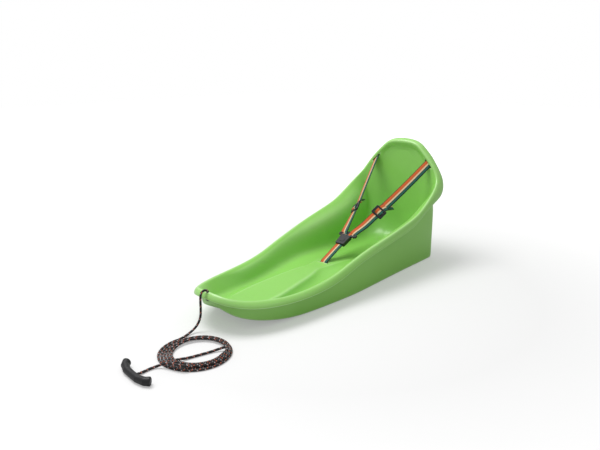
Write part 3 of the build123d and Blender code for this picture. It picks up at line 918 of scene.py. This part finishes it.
@dataclass
class Studio:
    """White sweep, a large soft key light from above and left, and the camera."""

    camera_place: Point = (1.050, -1.248, 0.625)
    camera_azimuth: float = 42.1
    camera_pitch: float = 15.5
    lens_mm: float = 36.06
    floor_size: float = 14.0
    floor_grey: float = 0.58
    key_watts: float = 62.0
    key_size: float = 1.5
    key_place: Point = (-0.9, -0.5, 2.6)
    key_aim: Point = (0.0, 0.0, 0.1)
    sky_level: float = 0.54

    def add_camera(self) -> None:
        """Adds the camera and makes it the scene's own."""
        data = bpy.data.cameras.new("camera")
        data.lens = self.lens_mm
        data.sensor_width = 36.0
        data.clip_end = 50.0
        camera = bpy.data.objects.new("camera", data)
        camera.location = self.camera_place
        camera.rotation_euler = (
            math.radians(90 - self.camera_pitch),
            0.0,
            math.radians(self.camera_azimuth),
        )
        bpy.context.scene.collection.objects.link(camera)
        bpy.context.scene.camera = camera

    def add_lamp(self, name: str, place: Point, aim: Point, size: float, watts: float) -> None:
        """Adds a square area lamp.

        Args:
            name: Name of the lamp.
            place: Where it stands.
            aim: Point that it faces.
            size: Side of its square.
            watts: Power.
        """
        data = bpy.data.lights.new(name, "AREA")
        data.size = size
        data.energy = watts
        lamp = bpy.data.objects.new(name, data)
        lamp.location = place
        lamp.rotation_euler = (Vector(aim) - Vector(place)).to_track_quat("-Z", "Y").to_euler()
        bpy.context.scene.collection.objects.link(lamp)

    def add_world(self) -> None:
        """Adds an even sky that the camera and gloss see as white."""
        world = bpy.data.worlds.new("sky")
        world.use_nodes = True
        tree = world.node_tree
        tree.nodes.clear()
        path = add_node(tree, "ShaderNodeLightPath")
        level = add_range(tree, path.outputs["Is Camera Ray"], {"To Min": self.sky_level, "To Max": 1.0})
        sky = add_node(tree, "ShaderNodeBackground", {"Color": (1, 1, 1, 1)}, {"Strength": level})
        add_node(tree, "ShaderNodeOutputWorld", links={"Surface": sky.outputs[0]})
        bpy.context.scene.world = world

    def add_floor(self) -> None:
        """Adds the white floor, which keeps the object's shadow."""
        half = self.floor_size / 2
        corners = [Vector((x * half, y * half, 0)) for x, y in ((-1, -1), (1, -1), (1, 1), (-1, 1))]
        floor = bpy.data.objects.new("floor", mesh_from("floor", corners, [(0, 1, 2, 3)]))
        bpy.context.scene.collection.objects.link(floor)
        material, tree = new_material("white_sweep")
        path = add_node(tree, "ShaderNodeLightPath")
        paint = add_node(tree, "ShaderNodeBsdfDiffuse", {"Color": (*(self.floor_grey,) * 3, 1)})
        place = add_node(tree, "ShaderNodeTexCoord")
        away = add_node(tree, "ShaderNodeVectorMath", {"operation": "LENGTH"}, {0: place.outputs["Object"]})
        # The floor fades to white away from the object
        limits = {"From Min": 0.6, "From Max": 2.2, "To Min": 0.30, "To Max": 0.9}
        glow_level = add_range(tree, away.outputs["Value"], limits)
        lift = add_math(tree, "MULTIPLY", path.outputs["Is Camera Ray"], glow_level)
        glow = add_node(tree, "ShaderNodeEmission", {"Color": (1, 1, 1, 1)}, {"Strength": lift})
        both = add_node(tree, "ShaderNodeAddShader", links={0: paint.outputs[0], 1: glow.outputs[0]})
        close_material(tree, both)
        dress(floor, material)

    def build(self) -> None:
        """Adds the floor, the sky and the lamps."""
        self.add_floor()
        self.add_world()
        self.add_lamp("key", self.key_place, self.key_aim, self.key_size, self.key_watts)
        bpy.context.scene.view_settings.view_transform = "Standard"


@dataclass
class TowRope:
    """Braided tow rope: out of the nose, over the lip, round a loose coil and on to the grip."""

    diameter: float = 6 * MM
    step_mm: float = 1.3
    curve_steps: int = 10
    coil_middle: tuple[float, float] = (0.078, -0.515)
    coil_outer: float = 0.081
    start_angle: float = 163.0
    tight_side: float = 41.0
    points_per_turn: int = 14
    nose_y: float = -0.410
    nose_z: float = 0.092
    # How far in from the outer strand, and how high, each half turn lies: loose side, then tight side
    passes_mm: tuple[tuple[float, float], ...] = (
        (0.0, 3.0),
        (0.0, 3.0),
        (7.2, 3.0),
        (6.9, 3.0),
        (14.4, 3.0),
        (3.4, 8.8),
        (21.6, 3.0),
        (10.3, 8.8),
        (28.8, 3.2),
        (17.5, 6.0),
    )

    def lead(self) -> list[Point]:
        """Route from the knot under the nose over the lip to the coil."""
        y, z = self.nose_y, self.nose_z
        return [
            (0.000, y, z - 0.0076),
            (0.000, y, z + 0.001),
            (0.000, y - 0.004, z + 0.007),
            (0.000, y - 0.014, z + 0.009),
            (0.000, y - 0.022, z + 0.003),
            (0.000, y - 0.024, z - 0.012),
            (0.001, y - 0.0245, z - 0.032),
            (0.000, y - 0.025, z - 0.052),
            (-0.004, y - 0.028, z - 0.068),
            (-0.007, y - 0.036, z - 0.080),
            (-0.007, y - 0.052, z - 0.087),
        ]

    def coil(self) -> list[Point]:
        """Route of the loose turns, spread on one side and piled on the other."""
        route = []
        loose_side = self.tight_side + 180.0
        step = 360.0 / self.points_per_turn
        angle = self.start_angle
        last = loose_side + 180.0 * (len(self.passes_mm) - 1)
        while angle <= last:
            place = max((angle - loose_side) / 180.0, 0.0)
            index = min(int(place), len(self.passes_mm) - 2)
            share = place - index
            inward_share = share * share * (3 - 2 * share)
            start, end = self.passes_mm[index], self.passes_mm[index + 1]
            inward = start[0] + (end[0] - start[0]) * inward_share
            rising = min(share * 2.6, 1.0) if end[1] > start[1] else max(share * 2.6 - 1.6, 0.0)
            height = start[1] + (end[1] - start[1]) * rising
            radius = self.coil_outer - inward * MM
            turn = math.radians(angle)
            route.append(
                (
                    self.coil_middle[0] + radius * math.cos(turn),
                    self.coil_middle[1] + radius * math.sin(turn),
                    height * MM,
                )
            )
            angle += step
        LOG.info("coil of %.1f turns", (len(self.passes_mm) - 1) / 2)
        return route

    def run(self) -> list[Point]:
        """Route from the coil across its middle, back in a small bight and out to the grip."""
        return [
            (0.132, -0.462, 0.0125),
            (0.118, -0.459, 0.0100),
            (0.108, -0.470, 0.0060),
            (0.101, -0.490, 0.0032),
            (0.094, -0.515, 0.0032),
            (0.087, -0.540, 0.0032),
            (0.082, -0.560, 0.0060),
            (0.083, -0.574, 0.0100),
            (0.094, -0.580, 0.0120),
            (0.108, -0.574, 0.0120),
            (0.120, -0.567, 0.0110),
            (0.128, -0.570, 0.0115),
            (0.127, -0.580, 0.0140),
            (0.112, -0.588, 0.0150),
            (0.094, -0.593, 0.0140),
            (0.079, -0.599, 0.0100),
            (0.069, -0.608, 0.0045),
            (0.065, -0.622, 0.0032),
            (0.066, -0.639, 0.0032),
            (0.068, -0.653, 0.0050),
            (0.068, -0.664, 0.0070),
        ]

    def route(self) -> list[Point]:
        """The whole route of the rope."""
        return self.lead() + self.coil() + self.run()

    def centre_line(self) -> list[Vector]:
        """Points read off the route's smooth curve."""
        curve = bpy.data.curves.new("rope_line", "CURVE")
        curve.dimensions = "3D"
        curve.resolution_u = self.curve_steps
        spline = curve.splines.new("NURBS")
        route = self.route()
        spline.points.add(len(route) - 1)
        for knot, place in zip(spline.points, route):
            knot.co = (*place, 1.0)
        spline.order_u = 3
        spline.use_endpoint_u = True
        holder = bpy.data.objects.new("rope_line", curve)
        bpy.context.scene.collection.objects.link(holder)
        mesh = bpy.data.meshes.new_from_object(holder)
        line = [vertex.co.copy() for vertex in mesh.vertices]
        bpy.data.objects.remove(holder)
        bpy.data.meshes.remove(mesh)
        return line


def even_line(line: Sequence[Vector], step: float) -> tuple[list[Vector], float]:
    """Spaces points evenly along a line.

    Args:
        line: Points of the line, in order.
        step: Distance wanted between two points.

    Returns:
        The evenly spaced points and the line's length.
    """
    lengths = distances(line)
    total = lengths[-1]
    count = max(int(total / step), 2)
    spaced, index = [], 0
    for number in range(count + 1):
        wanted = total * number / count
        while index < len(lengths) - 2 and lengths[index + 1] < wanted:
            index += 1
        span = max(lengths[index + 1] - lengths[index], 1e-9)
        spaced.append(line[index].lerp(line[index + 1], min(max((wanted - lengths[index]) / span, 0.0), 1.0)))
    return spaced, total


def level_frames(line: Sequence[Vector], start_side: Vector) -> list[tuple[Vector, Vector]]:
    """Frames along a line that turn with it and don't twist.

    Args:
        line: Points of the line.
        start_side: Rough side direction at the start.

    Returns:
        Side and up at each point.
    """
    frames = []
    side = start_side
    for tangent in tangents(line):
        side = (side - tangent * side.dot(tangent)).normalized()
        frames.append((side, tangent.cross(side)))
    return frames


def braided_tube(name: str, line: Sequence[Vector], radius: float, sides: int = 16) -> bpy.types.Mesh:
    """Closed tube whose wall swells and dips as crossing strands do.

    Args:
        name: Name of the mesh.
        line: Evenly spaced centre line.
        radius: Outer radius.
        sides: Vertices round the tube.

    Returns:
        The mesh, with length and place round the tube as its texture coordinates.
    """
    frames = level_frames(line, Vector((1, 0, 0)))
    points, faces, corner_uvs = [], [], []
    relief, pitch = radius * BRAID_RELIEF, BRAID_PITCH_MM * MM
    stations = distances(line)
    for centre, travelled, (side, up) in zip(line, stations, frames):
        for corner in range(sides):
            around = corner / sides
            angle = math.tau * around
            turns = (around + travelled / pitch, around - travelled / pitch)
            waves = [math.sin(math.pi * BRAID_STRANDS / 2 * turn) for turn in turns]
            swell = radius - relief * (1 - max(abs(waves[0]), abs(waves[1])))
            points.append(centre + (side * math.cos(angle) + up * math.sin(angle)) * swell)
    for index in range(len(line) - 1):
        for corner in range(sides):
            following = (corner + 1) % sides
            low, high = index * sides, (index + 1) * sides
            faces.append((low + corner, low + following, high + following, high + corner))
            left, right = corner / sides, (corner + 1) / sides
            near, far = stations[index], stations[index + 1]
            corner_uvs += [(near, left), (near, right), (far, right), (far, left)]
    for base, reverse in ((0, True), ((len(line) - 1) * sides, False)):
        ring = [base + corner for corner in range(sides)]
        faces.append(tuple(reversed(ring)) if reverse else tuple(ring))
        corner_uvs += [(stations[0 if reverse else -1], 0.0)] * sides
    return mesh_from(name, points, faces, corner_uvs=corner_uvs)


def build_rope(cord: bpy.types.Material, grip_material: bpy.types.Material) -> None:
    """Builds the tow rope and dresses its knot and grip.

    Args:
        cord: Material of the braid.
        grip_material: Material of the pull grip.
    """
    rope = TowRope()
    line, length = even_line(rope.centre_line(), rope.step_mm * MM)
    mesh = braided_tube("tow_rope", line, rope.diameter / 2)
    piece = link_piece("tow_rope", mesh, "rope", "tow_rope_lead", "tow_rope_coil", "tow_rope_run")
    dress(piece, cord)
    LOG.info("tow rope %.3f m long", length)
    nodes = FRAME["nodes"]
    dress(nodes["tow_rope_knot"], cord)
    dress(nodes["pull_grip"], grip_material)


def main() -> None:
    """Builds the stage, the rope, the shell and the harness in order."""
    logging.basicConfig(level=logging.INFO, format="%(message)s")
    studio = Studio()
    studio.add_camera()
    build_rope(BraidedCord().build(), MouldedAcetal("moulded_grip", "#121316", roughness=0.45).build())
    studio.build()
    nodes = FRAME["nodes"]
    TubShell().build(MouldedPolyethylene().build())
    black = MouldedAcetal().build()
    Harness().build(StripedWebbing().build())
    for name, node in nodes.items():
        if name.startswith(("buckle", "strap_adjuster", "strap_stop", "crotch_strap_stop")):
            dress(node, black)


if __name__ == "__main__":
    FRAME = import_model()
    main()
